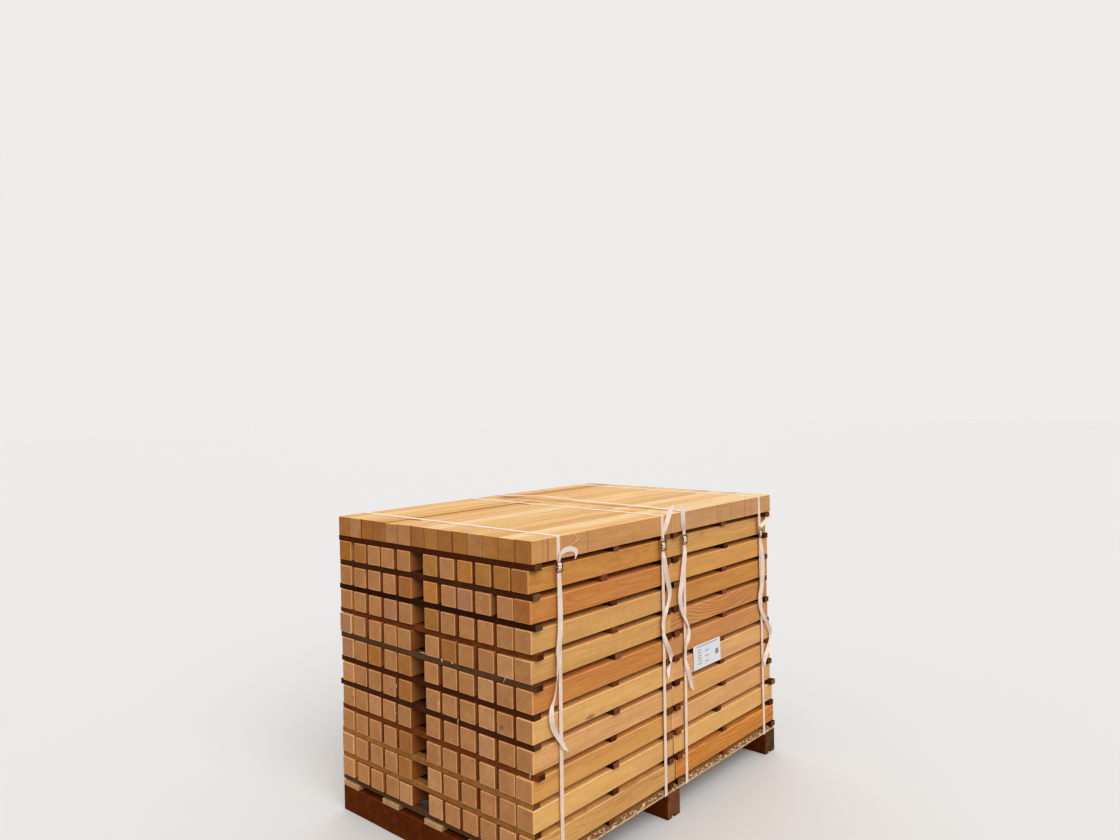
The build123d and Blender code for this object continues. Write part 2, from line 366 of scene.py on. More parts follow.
def sawn_wood(name, ring, grain_depth, knots, roughness, speck, mottle=0.05, along="Y",
              marks=(), sheen=0.2, fringe=0.0):
    """Rough-sawn wood: growth rings round a pith beside each timber, fibre streaks, knots.

    The rings and streaks follow the timber's length, which lies on the axis `along`, so the
    ends show arcs of rings and the faces show long lines.  ring is the ring width in
    metres, drawn a little coarser than the real 3 to 4 mm so that it shows.  marks are
    places along the timber, in metres from its middle, and strengths of dark lines over
    its outer side.  fringe is how far the timber's sides lie from its middle, where its
    sawn ends have a pale fringe of torn fibres.
    """
    made, tree, shader = new_material(name)
    local = add(tree, "Attribute", out="Vector", attribute_name="in_timber")
    if along == "X":
        local = add(tree, "Mapping", {"Vector": local, "Rotation": (0, 0, math.radians(90))})
    seed, figure, arris = [add(tree, "Attribute", out="Fac", attribute_name=mark)
                           for mark in ("seed", "figure", "arris")]
    side, end, upper = [add(tree, "Attribute", out="Color", attribute_name=mark)
                        for mark in ("side_tone", "end_tone", "upper_tone")]
    normal = add(tree, "NewGeometry", out="True Normal")
    facing = add(tree, "SeparateXYZ", (normal,)).node.outputs
    endwise = add(tree, "Math", (facing[along],), operation="ABSOLUTE")
    is_end = add(tree, "MapRange", (endwise, 0.75, 0.9))
    is_upper = add(tree, "MapRange", (facing["Z"], 0.5, 0.8))
    spread = add(tree, "VectorMath", {0: (3.7, 17.3, 9.1), "Scale": seed}, operation="SCALE")
    own = add(tree, "VectorMath", (local, spread))

    def stretched(scales, detail, roughness=0.5, out=0):
        """Noise stretched along the grain; scales are per metre."""
        spot = add(tree, "VectorMath", (own, scales), operation="MULTIPLY")
        return add(tree, "TexNoise", {"Vector": spot, "Scale": 1.0, "Detail": detail,
                                      "Roughness": roughness}, out)

    def tint(colour, mask, low, high, depth_low, depth_high):
        """Multiplies a colour by a grey that runs with the mask."""
        grey = add(tree, "MapRange", (mask, low, high, depth_low, depth_high))
        return add(tree, "VectorMath", {0: colour, "Scale": grey}, operation="SCALE")

    pith_chance = add(tree, "TexWhiteNoise", {"W": seed}, "Color", noise_dimensions="1D")
    pith = add(tree, "MapRange", {"Vector": pith_chance, 9: -PITH_REACH, 10: PITH_REACH},
               "Vector", data_type="FLOAT_VECTOR")
    sway = stretched((6.0, 1.6, 6.0), 2.0, out="Color")
    sway = add(tree, "VectorMath", (sway, (0.5, 0.5, 0.5)), operation="SUBTRACT")
    reach = add(tree, "Math", (figure, 0.045, 0.03), operation="MULTIPLY_ADD")
    sway = add(tree, "VectorMath", {0: sway, "Scale": reach}, operation="SCALE")
    round_pith = add(tree, "VectorMath", (local, pith), operation="SUBTRACT")
    round_pith = add(tree, "VectorMath", (round_pith, sway))
    # A face cut nearly flat to the rings shows them wider apart, and more figure
    wider = add(tree, "Math", (figure, 0.6, 0.9), operation="MULTIPLY_ADD")
    closer = add(tree, "Math", (1.0, wider), operation="DIVIDE")
    round_pith = add(tree, "VectorMath", {0: round_pith, "Scale": closer}, operation="SCALE")
    rings = add(tree, "TexWave", {
        "Vector": round_pith, "Scale": WAVE_PITCH / ring, "Distortion": 1.2, "Detail": 2.0,
        "Detail Scale": 0.6,
    }, "Fac", wave_type="RINGS", rings_direction="Y", wave_profile="SAW")
    late_wood = add(tree, "Math", (rings, 3.0), operation="POWER")
    fibres = stretched((520.0, 7.0, 520.0), 3.0, 0.65)
    streaks = stretched((150.0, 4.5, 150.0), 3.0, 0.6)
    clouds = stretched((24.0, 2.4, 24.0), 3.0)
    blotches = add(tree, "TexNoise", {"Vector": own, "Scale": 30.0, "Detail": 4.0,
                                      "Roughness": 0.6})
    base = add(tree, "Mix", {0: is_upper, 6: side, 7: upper}, **COLOUR)
    base = add(tree, "Mix", {0: is_end, 6: base, 7: end}, **COLOUR)
    # Late wood: the darker, redder half of each ring, stronger on a timber with more figure
    depth = add(tree, "Math", (figure, grain_depth, grain_depth * 0.55),
                operation="MULTIPLY_ADD")
    depth = add(tree, "Math", (late_wood, depth), operation="MULTIPLY")
    end_share = add(tree, "MapRange", (is_end, 0.0, 1.0, 1.0, 0.55))
    depth = add(tree, "Math", (depth, end_share), operation="MULTIPLY")
    redder = add(tree, "VectorMath", (base, (0.60, 0.42, 0.30)), operation="MULTIPLY")
    colour = add(tree, "Mix", {0: depth, 6: base, 7: redder}, **COLOUR)
    colour = tint(colour, fibres, 0.3, 0.7, 0.94, 1.05)
    colour = tint(colour, streaks, 0.3, 0.7, 0.93, 1.055)
    colour = tint(colour, clouds, 0.3, 0.7, 0.91, 1.07)
    colour = tint(colour, blotches, 0.35, 0.7, 1.0 + mottle / 2, 1.0 - mottle)
    # Band saw marks, a little aslant across the timber
    saw_slant = math.radians(12)
    saw_way = add(tree, "Mapping", {"Vector": own, "Rotation": (saw_slant, 0, saw_slant)})
    saw = add(tree, "TexWave", {
        "Vector": saw_way, "Scale": WAVE_PITCH / SAW_PITCH, "Distortion": 1.5, "Detail": 1.0,
        "Detail Scale": 0.4,
    }, "Fac", wave_type="BANDS", bands_direction="Y")
    colour = tint(colour, saw, 0.0, 1.0, 0.975, 1.02)
    hue = add(tree, "MapRange", (clouds, 0.3, 0.7, 0.496, 0.504))
    saturation = add(tree, "MapRange", (fibres, 0.3, 0.7, 1.06, 0.96))
    colour = add(tree, "HueSaturation", {"Hue": hue, "Saturation": saturation,
                                         "Color": colour})
    # Dark lines across the face, left where spacers and bands lay while the timber dried
    if marks:
        half = MARK_SPAN / 2
        way = add(tree, "SeparateXYZ", (local,), "Y")
        line = add(tree, "ValToRGB", (add(tree, "MapRange", (way, -half, half)),))
        stops = line.node.color_ramp.elements
        stops[1].color = (0, 0, 0, 1)
        for mark, strength in marks:
            for offset, level in ((-MARK_WIDTH, 0), (0, strength), (MARK_WIDTH, 0)):
                stops.new((mark + offset + half) / MARK_SPAN).color = (level,) * 3 + (1,)
        outer = add(tree, "MapRange", (facing["X"], 0.7, 0.9))
        line = add(tree, "Math", (outer, line), operation="MULTIPLY")
        broken = add(tree, "MapRange", (clouds, 0.3, 0.6, 0.5))
        line_tone = "#7A5230"
    else:
        way = add(tree, "SeparateXYZ", (own,), "Y")
        way = add(tree, "Math", (way, 9.0), operation="MULTIPLY")
        crossing = add(tree, "TexVoronoi", {"W": way, "Scale": 1.0},
                       voronoi_dimensions="1D").node.outputs
        line = add(tree, "MapRange", (crossing["Distance"], 0.016, 0.007))
        line_chance = add(tree, "SeparateColor", (crossing["Color"],), 1)
        line_here = add(tree, "Math", (line_chance, 0.07), operation="LESS_THAN")
        line = add(tree, "Math", (line, line_here), operation="MULTIPLY")
        broken = add(tree, "MapRange", (blotches, 0.45, 0.6, 0.0, 0.5))
        line_tone = "#8A5C36"
    line = add(tree, "Math", (line, broken), operation="MULTIPLY")
    colour = add(tree, "Mix", {0: line, 6: colour, 7: linear(line_tone)}, **COLOUR)
    # Knots are small and few, and dirt sits in specks
    knot_place = add(tree, "VectorMath", (own, (11.0, 3.2, 11.0)), operation="MULTIPLY")
    knot_field = add(tree, "TexVoronoi", {"Vector": knot_place, "Scale": 1.0}).node.outputs
    knot_chance = add(tree, "SeparateColor", (knot_field["Color"],))
    knot_here = add(tree, "Math", (knot_chance, knots), operation="LESS_THAN")
    knot = add(tree, "MapRange", (knot_field["Distance"], 0.14, 0.06),
               interpolation_type="SMOOTHSTEP")
    knot = add(tree, "Math", (knot_here, knot), operation="MULTIPLY")
    knot = add(tree, "Math", (knot, 0.6), operation="MULTIPLY")
    colour = add(tree, "Mix", {0: knot, 6: colour, 7: linear("#6E4122")}, **COLOUR)
    dirt = add(tree, "TexNoise", {"Vector": own, "Scale": 240.0, "Detail": 3.0,
                                  "Roughness": 0.7})
    dirt = add(tree, "MapRange", (dirt, 0.64, 0.76, 0.0, speck))
    worn = add(tree, "Mix", {0: dirt, 6: colour, 7: linear("#5A3A22")}, **COLOUR)
    # Torn fibres along the arrises are paler, and the joints between touching timbers are painted
    # dark as shade, more in some than others
    frayed = add(tree, "VectorMath", (worn, (1.36, 1.36, 1.40)), operation="MULTIPLY")
    colour = add(tree, "Mix", {0: arris, 6: worn, 7: frayed}, **COLOUR)
    joint_shade = add(tree, "Math", (seed, -0.7, -0.3), operation="MULTIPLY_ADD")
    joint_shade = add(tree, "Math", (arris, joint_shade), operation="MULTIPLY")
    colour = add(tree, "Mix", {0: joint_shade, 6: colour, 7: linear("#4A2C14")}, **COLOUR)
    if fringe:
        reach = add(tree, "VectorMath", (local,), operation="ABSOLUTE")
        reach = add(tree, "SeparateXYZ", (reach,)).node.outputs
        reach = add(tree, "Math", (reach["X"], reach["Z"]), operation="MAXIMUM")
        band = add(tree, "MapRange", (reach, fringe - FRINGE_START, fringe - FRINGE_FULL))
        band = add(tree, "Math", (band, is_end), operation="MULTIPLY")
        patchy = add(tree, "MapRange", (blotches, 0.35, 0.6, 0.25))
        band = add(tree, "Math", (band, patchy), operation="MULTIPLY")
        pale = add(tree, "VectorMath", (worn, (1.6, 1.75, 2.1)), operation="MULTIPLY")
        colour = add(tree, "Mix", {0: band, 6: colour, 7: pale}, **COLOUR)
    relief = add(tree, "Math", (fibres, saw))
    relief = add(tree, "Math", (relief, rings))
    bump = add(tree, "Bump", {"Height": relief, "Strength": 0.35, "Distance": 0.0008})
    feed(shader, {"Base Color": colour, "Roughness": roughness, "IOR": 1.45,
                  "Specular IOR Level": sheen, "Normal": bump})
    return made


# Rough-sawn softwood: matt, with dull highlights, warm lines of late wood and raised fibres
lumber = sawn_wood("rough_sawn_softwood", 0.0052, 0.32, 0.10, 0.82, 0.18,
                   fringe=BEAM_SIZE[0] / 2)
# Sun-dried softwood of the top layer: paler, with dark lines where spacers and bands lay
NEAR_MARKS = ((-0.371, 0.4), (-0.346, 0.9), (-0.127, 0.6), (0.16, 0.3))
FAR_MARKS = ((-0.191, 0.25), (-0.0765, 0.3), (-0.061, 0.8), (-0.039, 0.35), (0.0515, 0.6),
             (0.178, 0.9), (0.237, 0.4), (0.31, 0.3))
top_lumber = [
    sawn_wood(f"sun_dried_softwood_{block_name}", 0.0052, 0.3, 0.06, 0.82, 0.15, marks=marks)
    for block_name, marks in (("near", NEAR_MARKS), ("far", FAR_MARKS))
]

for layer in range(1, LAYERS + 1):
    for block, block_name in enumerate(("near", "far")):
        cad_node = f"beams_layer_{layer:02d}_{block_name}"
        pick = random.Random(cad_node)
        on_top = layer == 1
        count = TOP_COUNT if on_top else LOWER_COUNT
        looks = []
        for place in range(count):
            side_tone = WOOD_TONES[pick.choice(list(WOOD_TONES))]
            end_tone = END_TONES[pick.choice("ttrrrgpoyb")]
            figure = pick.uniform(0.1, 0.9)
            # Side faces of the inner beams take a painted shade tone
            if 0 < place < count - 1:
                side_tone = pick.choice(INNER_SHADE_TONES)
            if place == count - 1:
                tone, figure = SIDE_LOOK[layer - 1][block]
                side_tone = WOOD_TONES[tone]
            upper_tone = side_tone
            if on_top:
                upper_tone = TOP_TONES[TOP_FACES[block][place]]
                figure = figure / 2
            if block == 0:
                end_tone = END_TONES[NEAR_ENDS[layer - 1][place]]
            looks.append((side_tone, end_tone, upper_tone, figure))
        steps = [pick.uniform(0.0, MOST_STEP) for place in range(count)]
        if on_top:
            steps = [step / 1000 for step in TOP_STEPS[block]]
        lay_timbers(f"lumber_layer_{layer:02d}_{block_name}", cad_node, BEAM_SIZE, BEAM_CUTS,
                    TOUCHING_ARRIS if on_top else BEAM_ARRIS, BEAM_UNEVENNESS,
                    top_lumber[block] if on_top else lumber, looks,
                    steps, touching=on_top)

# Torn fibres
# Pale splinters that the saw left hanging on the arrises, 1 to 2 mm wide.  They stand on
# the near ends, and one curls off the top beam beside the first strap.

FIBRE_RADIUS = 0.0014
# Layer, then (distance from the stack's left side, depth under its top) in millimetres
# from root to tip
END_FIBRES = (
    (5, ((77, 424), (73, 446), (75, 470), (69, 499))),
    (5, ((70, 500), (62, 497), (58, 502))),
    (5, ((562, 497), (550, 494), (536, 496))),
    (5, ((664, 499), (669, 506), (674, 510))),
    (5, ((722, 500), (728, 506), (738, 503))),
    (5, ((1016, 497), (1010, 508), (1003, 520))),
    (7, ((641, 664), (643, 686), (638, 706))),
    (7, ((384, 656), (380, 664), (386, 671))),
    (7, ((757, 709), (752, 720), (756, 731))),
    (8, ((371, 736), (365, 743), (368, 751))),
    (8, ((370, 755), (362, 763), (367, 770))),
    (8, ((374, 772), (367, 780), (372, 787))),
    (8, ((82, 748), (76, 758), (82, 768))),
    (8, ((1130, 813), (1124, 824), (1128, 831))),
)
# (Distance from the near end, depth under the top), from the top arris
SIDE_FIBRE = ((223, 2), (238, 12), (247, 24), (232, 32), (211, 38), (192, 43))

# Torn softwood: pale, clean fibre from inside the timber, thin and a little glossy
torn_wood, tree, shader = new_material("torn_softwood_fibre")
spot = add(tree, "TexCoord", out="Object")
streak = add(tree, "TexNoise", {"Vector": spot, "Scale": 300.0, "Detail": 2.0})
streak = add(tree, "MapRange", (streak, 0.35, 0.65))
fibre_tone = add(tree, "Mix", {0: streak, 6: linear("#F0C896"), 7: linear("#FFF0D8")}, **COLOUR)
feed(shader, {"Base Color": fibre_tone, "Roughness": 0.7})

fibre_lines = bpy.data.curves.new("torn_fibres", "CURVE")
fibre_lines.dimensions = "3D"
fibre_lines.bevel_depth = FIBRE_RADIUS
fibre_lines.bevel_resolution = 1
fibre_lines.resolution_u = 4
fibre_lines.use_fill_caps = True
stack_low, stack_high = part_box("beams_layer_01_near")
# How far a splinter starts inside its beam and how far it stands off it
ROOT_DEPTH, STAND_OFF, SIDE_STAND_OFF = 0.001, 0.002, 0.0035


def smooth_line(curve, points):
    """Adds a smooth line to a curve, with the points as its control points."""
    line = curve.splines.new("NURBS")
    line.points.add(len(points) - 1)
    for place, point in enumerate(points):
        line.points[place].co = (*point, 1.0)
    line.order_u = 3
    line.use_endpoint_u = True
    return line


def fibre_line(points):
    """One splinter, thick at its root and fine at its tip."""
    line = smooth_line(fibre_lines, points)
    for place, point in enumerate(line.points):
        point.radius = 1.0 - 0.6 * place / (len(points) - 1)


for layer, route in END_FIBRES:
    beams = timbers_of(f"beams_layer_{layer:02d}_near")
    root_x = stack_low[0] + route[0][0] / 1000
    carrier = min(beams, key=lambda beam: abs((beam[0].x + beam[1].x) / 2 - root_x))
    fibre_line([(stack_low[0] + x / 1000,
                 carrier[0].y + (-STAND_OFF if place else ROOT_DEPTH),
                 stack_high[2] - z / 1000)
                for place, (x, z) in enumerate(route)])
fibre_line([(stack_high[0] + (SIDE_STAND_OFF if place else 0.0), stack_low[1] + y / 1000,
             stack_high[2] - z / 1000)
            for place, (y, z) in enumerate(SIDE_FIBRE)])
mesh = made_plain(put("torn_fibres_lines", fibre_lines))
mesh.materials.clear()
mesh.materials.append(torn_wood)
torn_fibres = put("torn_fibres", mesh)
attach(torn_fibres, "root")

# Stickers
# Thin rough battens 36 x 23 mm laid across the stack between the layers, used many times
# over and dark with age and damp.  They lie loose and some ends stand out a little.

STICKER_SIZE = (1.170, 0.036, 0.023)
STICKER_CUTS = (12, 2)
STICKER_ARRIS, STICKER_UNEVENNESS = 0.0012, 0.0012
STICKER_TONES = {
    "black_brown": "#33180C",
    "red_brown": "#4E2410",
    "dark_brown": "#482714",
    "brown": "#783F1B",
    "grey_brown": "#5C402A",
    "golden": "#A26E38",
}
# Tone of the sticker nearest the near end, from the top level down
NEAR_STICKER_TONE = (
    "red_brown", "dark_brown", "black_brown", "brown", "grey_brown", "red_brown",
    "dark_brown", "brown", "golden", "golden", "grey_brown",
)
# Ends of the stickers nearest the near end, from the top level down; the others vary
NEAR_STICKER_END = (
    "#5E3C24", "#70563A", "#5C4428", "#4E2416", "#4C2014", "#4E2C18", "#5C3A1E", "#4A2A16",
    "#6B4628", "#4A2A16", "#3E2614",
)
STICKER_END_TONES = ("#6C3C24", "#78452C", "#552C18", "#825438")

# Old batten wood: matt, darkened by damp and handling, its grain nearly lost
sticker_wood = sawn_wood("old_rough_batten", 0.0045, 0.12, 0.05, 0.9, 0.5, 0.25, along="X",
                         sheen=0.05)
STICKERS_IN_A_ROW = 6

for level in range(1, LAYERS + 1):
    cad_node = f"stickers_level_{level:02d}"
    pick = random.Random(cad_node)
    looks = []
    for place in range(STICKERS_IN_A_ROW):
        tone = STICKER_TONES[pick.choice(("red_brown", "dark_brown", "black_brown", "brown"))]
        end_tone = pick.choice(STICKER_END_TONES)
        if place == 0:
            tone = STICKER_TONES[NEAR_STICKER_TONE[level - 1]]
            end_tone = NEAR_STICKER_END[level - 1]
        looks.append((tone, end_tone, tone, 0.5))
    lay_timbers(f"sticker_row_{level:02d}", cad_node, STICKER_SIZE, STICKER_CUTS,
                STICKER_ARRIS, STICKER_UNEVENNESS, sticker_wood, looks,
                [0.0] * STICKERS_IN_A_ROW)

# Deck boards
# Five boards 105 x 22 mm laid lengthwise over the bearers to carry the lowest stickers.
# The outer one keeps the round, rough edge of the log; it is pale with dark specks.

DECK_ARRIS, DECK_CUTS = 0.002, 18
# How far the faces sway, and how little near the ground, where the timber lies flat
SWAY, GROUND_SWAY = 0.0004, 0.00012
DECK_TONES = ("#B08A58", "#A37C4A", "#AC8650", "#9C7542", "#B47C46")


def worked_copy(name, cad_node, arris, cuts, along, tone, end_tone, finish):
    """A CAD timber with eased arrises and slightly uneven faces, marked like the beams."""
    form = bmesh.new()
    form.from_mesh(bpy.data.objects[cad_node].data)
    bmesh.ops.remove_doubles(form, verts=form.verts, dist=1e-5)
    bmesh.ops.dissolve_limit(form, angle_limit=0.02, verts=form.verts, edges=form.edges)
    low, high = [Vector(corner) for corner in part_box(cad_node)]
    way = Vector([float(axis == along) for axis in range(3)])
    for cut in range(1, cuts):
        spot = low + way * (high[along] - low[along]) * cut / cuts
        bmesh.ops.bisect_plane(form, geom=form.verts[:] + form.edges[:] + form.faces[:],
                               plane_co=spot, plane_no=way)
    mesh = bpy.data.meshes.new(name)
    form.to_mesh(mesh)
    form.free()
    maker = put(name + "_blank", mesh)
    ease_arrises(maker, arris, 30)
    mesh = made_plain(maker)
    centre = (low + high) / 2
    local, seed, side, end, upper, figure = mark_points(mesh, "in_timber")
    own_seed = random.Random(name).random()
    for vertex in mesh.vertices:
        local[vertex.index].vector = vertex.co - centre
        figure[vertex.index].value = 0.8
        seed[vertex.index].value = own_seed
        side[vertex.index].color = upper[vertex.index].color = linear(tone)
        end[vertex.index].color = linear(end_tone)
        wave = [math.sin(vertex.co[along] * (17 + 5 * i) + own_seed * 40 + i) for i in range(3)]
        vertex.co += Vector(wave) * (GROUND_SWAY if vertex.co.z < 0.02 else SWAY)
    mesh.materials.clear()
    mesh.materials.append(finish)
    mark_arrises(mesh)
    return dress(name, mesh, cad_node)


# Deck board wood: matt and rough, cream to tan, with some dirt
deck_wood = sawn_wood("rough_deck_board", 0.006, 0.2, 0.2, 0.88, 0.6, 0.12)
for number, tone in enumerate(DECK_TONES, 1):
    worked_copy(f"deck_plank_{number}", f"deck_board_{number}", DECK_ARRIS, DECK_CUTS, 1, tone,
                "#C79A6A", deck_wood)

# The waney edge: brown inner bark in short shreds over pale sapwood, which shows along the
# sharp lower arris
waney_edge, tree, shader = new_material("sapwood_with_bark_shreds")
spot = add(tree, "TexCoord", out="Object")
drawn_out = add(tree, "VectorMath", (spot, (70.0, 48.0, 170.0)), operation="MULTIPLY")
shreds = add(tree, "TexNoise", {"Vector": drawn_out, "Scale": 1.0, "Detail": 4.0,
                                "Roughness": 0.7})
board_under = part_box("deck_board_5")[0][2]
height = add(tree, "SeparateXYZ", (spot,), "Z")
height = add(tree, "MapRange", (height, board_under + 0.005, board_under + 0.009, -0.3, 0.06))
bark = add(tree, "Math", (shreds, height))
bark = add(tree, "MapRange", (bark, 0.49, 0.55, 0.0, 0.85))
flecks = add(tree, "TexNoise", {"Vector": spot, "Scale": 130.0, "Detail": 3.0,
                                "Roughness": 0.7})
flecks = add(tree, "MapRange", (flecks, 0.4, 0.6))
sapwood = add(tree, "Mix", {0: flecks, 6: linear("#C08850"), 7: linear("#F2D2A8")}, **COLOUR)
edge_tone = add(tree, "Mix", {0: bark, 6: sapwood, 7: linear("#523017")}, **COLOUR)
bump = add(tree, "Bump", {"Height": bark, "Strength": 0.6, "Distance": 0.002})
feed(shader, {"Base Color": edge_tone, "Roughness": 0.9, "Specular IOR Level": 0.05,
              "Normal": bump})
outer_board = bpy.data.objects["deck_plank_5"].data
outer_board.materials.append(waney_edge)
for face in outer_board.polygons:
    face.material_index = int(face.normal.x > 0.2)

# Bearers
# Three heavy timbers 90 x 108 mm across the stack that keep it off the ground and leave
# room for lift forks.  Weathered reddish brown, darkened further as painted shade under the
# stack, with a sawn groove along the underside.

BEARER_ARRIS, BEARER_CUTS = 0.003, 12
# Weathered bearer wood: matt, red brown and blotched, with the late wood standing out dark
bearer_wood = sawn_wood("weathered_bearer", 0.006, 0.45, 0.2, 0.85, 0.7, 0.4, along="X",
                        sheen=0.05)
# Their sides are weathered red brown, made darker still as painted shade under the stack
for name, end_tone in (("near", "#74482E"), ("middle", "#784A32"), ("far", "#583C2A")):
    worked_copy(f"cross_bearer_{name}", f"bearer_{name}", BEARER_ARRIS, BEARER_CUTS, 0,
                "#632C0C", end_tone, bearer_wood)

# Straps
# Woven polyester strapping 19 mm wide: straight cords side by side, held by fine cross
# threads.  Drawn tight round the stack, with the ends folded round the buckle's bars.

STRAP_TOP_Y = (0.139, 0.785, 0.945, 1.604)
STRAP_BOTTOM_Y = (0.143, 0.796, 0.954, 1.6456)
STRAP_WIDTH = 0.019
CORD_COUNT = 9
CORD_PITCH = STRAP_WIDTH / CORD_COUNT
THREAD_PITCH = 0.004
near_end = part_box("bearer_near")[0][1]
stack_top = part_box("beams_layer_01_near")[1][2]
deck_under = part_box("deck_board_1")[0][2]


def woven_cords(name, across, along, tone):
    """Woven polyester: off-white, with a dull sheen on its raised cords, shade painted darker in
    the grooves between them, and some soil.

    across and along give its own coordinates in metres."""
    made, tree, shader = new_material(name)
    cord_turn = add(tree, "Math", (across(tree), 2 * math.pi / CORD_PITCH),
                    operation="MULTIPLY")
    cord_wave = add(tree, "Math", (cord_turn,), operation="COSINE")
    # Cross threads every 4 mm, drawn coarser than the real 1.5 mm so that they show
    thread_turn = add(tree, "Math", (along(tree), 2 * math.pi / THREAD_PITCH),
                      operation="MULTIPLY")
    thread_wave = add(tree, "Math", (thread_turn,), operation="SINE")
    weave = add(tree, "Math", (cord_wave, thread_wave, cord_wave), operation="MULTIPLY_ADD")
    spot = add(tree, "TexCoord", out="Object")
    soil = add(tree, "TexNoise", {"Vector": spot, "Scale": 22.0, "Detail": 4.0,
                                  "Roughness": 0.6})
    soil = add(tree, "MapRange", (soil, 0.45, 0.8, 0.0, 0.5))
    # The grooves between the cords are painted darker as shade
    weave_shade = add(tree, "MapRange", (weave, -1.5, 1.0))
    clean = add(tree, "Mix", {0: weave_shade, 6: linear("#DFBEA4"), 7: linear(tone)}, **COLOUR)
    soiled = add(tree, "Mix", {0: soil, 6: clean, 7: linear("#C9A284")}, **COLOUR)
    bump = add(tree, "Bump", {"Height": weave, "Strength": 0.35, "Distance": 0.0004})
    feed(shader, {"Base Color": soiled, "Roughness": 0.4, "IOR": 1.5, "Sheen Weight": 0.25,
                  "Normal": bump})
    return made


def strap_lean(number):
    """How far a strap moves along the stack for each metre that it goes down."""
    return (STRAP_BOTTOM_Y[number] - STRAP_TOP_Y[number]) / (stack_top - deck_under)


for number in range(4):
    lean = strap_lean(number)
    line = near_end + STRAP_TOP_Y[number] + lean * stack_top

    def strap_across(tree, lean=lean, line=line):
        parts = add(tree, "SeparateXYZ", (add(tree, "TexCoord", out="Object"),)).node.outputs
        drop = add(tree, "Math", (parts["Z"], lean, parts["Y"]), operation="MULTIPLY_ADD")
        return add(tree, "Math", (drop, line), operation="SUBTRACT")

    def strap_along(tree):
        parts = add(tree, "SeparateXYZ", (add(tree, "TexCoord", out="Object"),)).node.outputs
        return add(tree, "Math", (parts["X"], parts["Z"]))

    webbing = woven_cords(f"woven_polyester_strap_{number + 1}", strap_across, strap_along,
                          "#FFE9D6")
    strap = bpy.data.objects[f"strap_{number + 1}"]
    strap.data.materials.clear()
    strap.data.materials.append(webbing)

# Buckles
# Each is one 4 mm steel wire bent to a frame with its ends across the middle, dark from
# the phosphate finish and rubbed bright where it touches.

# Phosphated steel wire: dark grey and dull, bright and smoother where it is rubbed
buckle_steel, tree, shader = new_material("phosphated_steel_wire")
spot = add(tree, "TexCoord", out="Object")
rub = add(tree, "TexNoise", {"Vector": spot, "Scale": 160.0, "Detail": 4.0,
                             "Roughness": 0.7})
rub = add(tree, "MapRange", (rub, 0.54, 0.7))
steel_tone = add(tree, "Mix", {0: rub, 6: linear("#1F1B19"), 7: linear("#8A8279")}, **COLOUR)
gloss = add(tree, "MapRange", (rub, 0.0, 1.0, 0.5, 0.3))
feed(shader, {"Base Color": steel_tone, "Roughness": gloss, "Metallic": 0.9})
for number in range(1, 5):
    clasp = bpy.data.objects[f"buckle_{number}"]
    clasp.data.materials.clear()
    clasp.data.materials.append(buckle_steel)

# Loose strap ends
# What is left of each strap past its buckle: limp, light webbing that hangs down the side
# in slow curves, turning about itself, or springs up over the top edge.

# Routes: length of the first straight run in millimetres, then (distance along the stack,
# height over its top), and how far the band has turned about its own length at each point
# from start to tip, in degrees, and the length of the slanting cut at the tip
ENDS_UP = (
    (8, ((143, -66), (165, -56), (196, -52), (224, -59), (239, -74), (236, -96)),
     (20, 20, 15, 0, -5, 0, 10, 15), 28),
    (12, ((792, -60), (808, -26), (828, 8), (849, 44)), (30, 0, -40, -52, -50, -45), 33),
    (14, ((932, -62), (925, -22), (929, 42)), (10, -20, -48, -50, -45), 10),
    (5, ((1617, -142), (1650, -129), (1690, -114), (1735, -94)), (30, 0, -28, -38, -36, -30), 26),
)
ENDS_DOWN = (
    (60, ((138, -330), (122, -430), (111, -520), (98, -574), (78, -622), (82, -664),
          (110, -706), (136, -738), (163, -787)),
     (0, 20, 25, -25, -38, -20, 20, 40, 10, -5, -5), 28),
    (18, ((788, -190), (797, -240), (812, -290), (829, -328), (820, -368), (792, -400),
          (778, -438), (776, -482), (788, -522), (812, -566), (834, -603), (820, -636),
          (788, -674)),
     (0, 30, 45, 48, 45, 15, 5, 25, 10, -10, 25, 50, 30, -25, 45), 28),
    (20, ((938, -190), (926, -240), (914, -300), (899, -346), (903, -392), (931, -442),
          (962, -488), (972, -522), (950, -560), (938, -606), (942, -656), (960, -704),
          (978, -746), (994, -788)),
     (0, 25, 40, 42, 40, 35, 30, 0, -20, 10, 30, -10, 0, 42, 35, 0), 28),
    (30, ((1622, -300), (1620, -380), (1610, -440), (1592, -488), (1599, -540), (1629, -590),
          (1666, -634), (1698, -676), (1702, -714), (1670, -748), (1636, -786), (1616, -828)),
     (0, 40, 48, 48, 45, 30, 20, 35, 45, 35, -5, 35, 50, 35), 28),
)
# Half thickness of the band on a cord and between two cords
CORD_RISE, CORD_DIP = 0.00058, 0.00034
# Share of the band's width that is gone at the very tip
TIP_SLANT = 0.95


